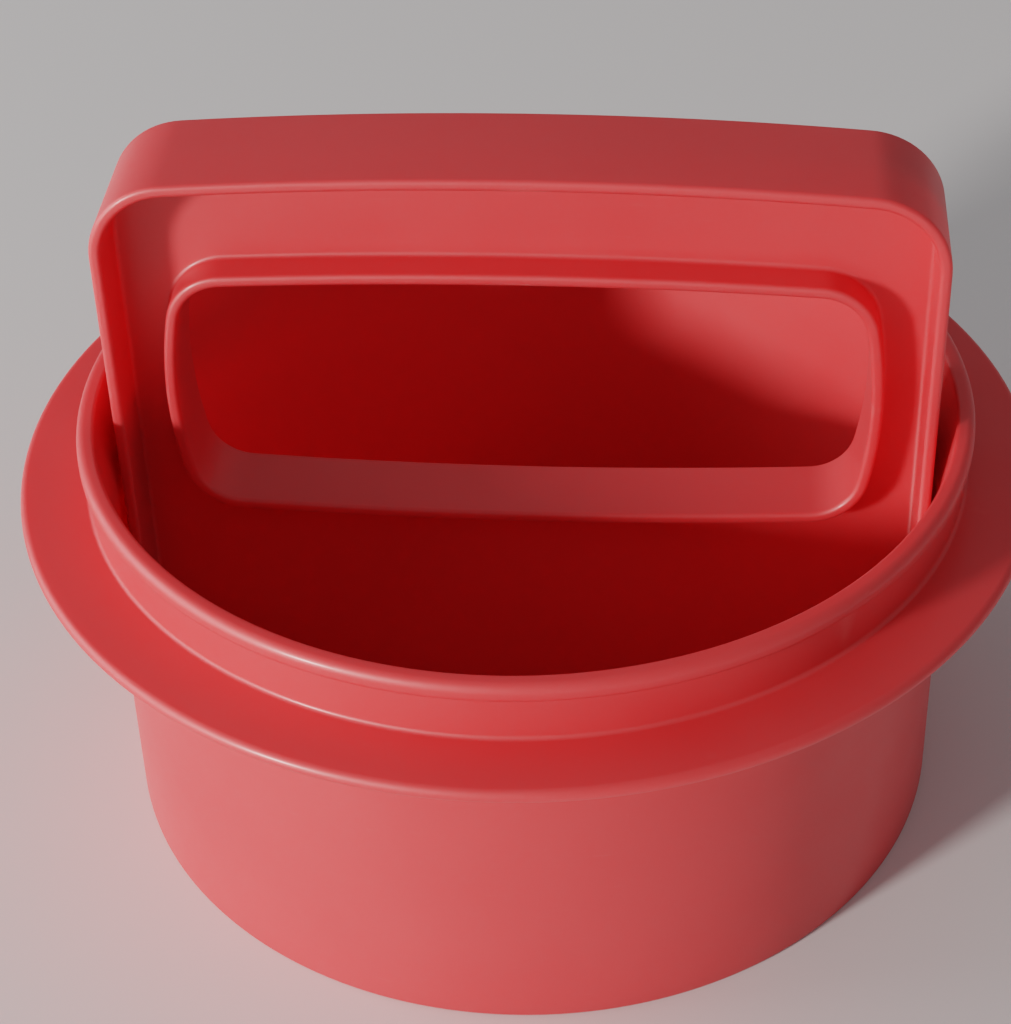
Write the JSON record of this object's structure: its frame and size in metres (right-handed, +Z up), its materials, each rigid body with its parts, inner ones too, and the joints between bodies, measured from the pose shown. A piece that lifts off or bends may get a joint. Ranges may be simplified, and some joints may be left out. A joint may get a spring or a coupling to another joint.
{
  "type": "patty press",
  "caption": "Hand press for round patties: an open mould ring with a flanged collar, and a lift-out plunger with a ribbed press plate and a looped grip.",
  "frame": {"origin": "centre of the mould ring's foot, on the table", "axes": "+Z up, along the plunger's travel; +X along the grip; the fingers go through the grip along Y"},
  "size_m": [0.137, 0.137, 0.0973],
  "materials": {
    "ring_plastic": "coral, satin injection-moulded polyolefin",
    "plunger_plastic": "coral, satin injection-moulded polyolefin"
  },
  "bodies": {
    "ring": {"mould_ring": "ring_plastic"},
    "plunger": {"press_plate": "plunger_plastic", "grip": "plunger_plastic"}
  },
  "joints": [
    {"name": "plunger_lift", "type": "slide", "parent": "ring", "child": "plunger", "axis": [0, 0, 1], "range_m": [0, 0.075]}
  ]
}
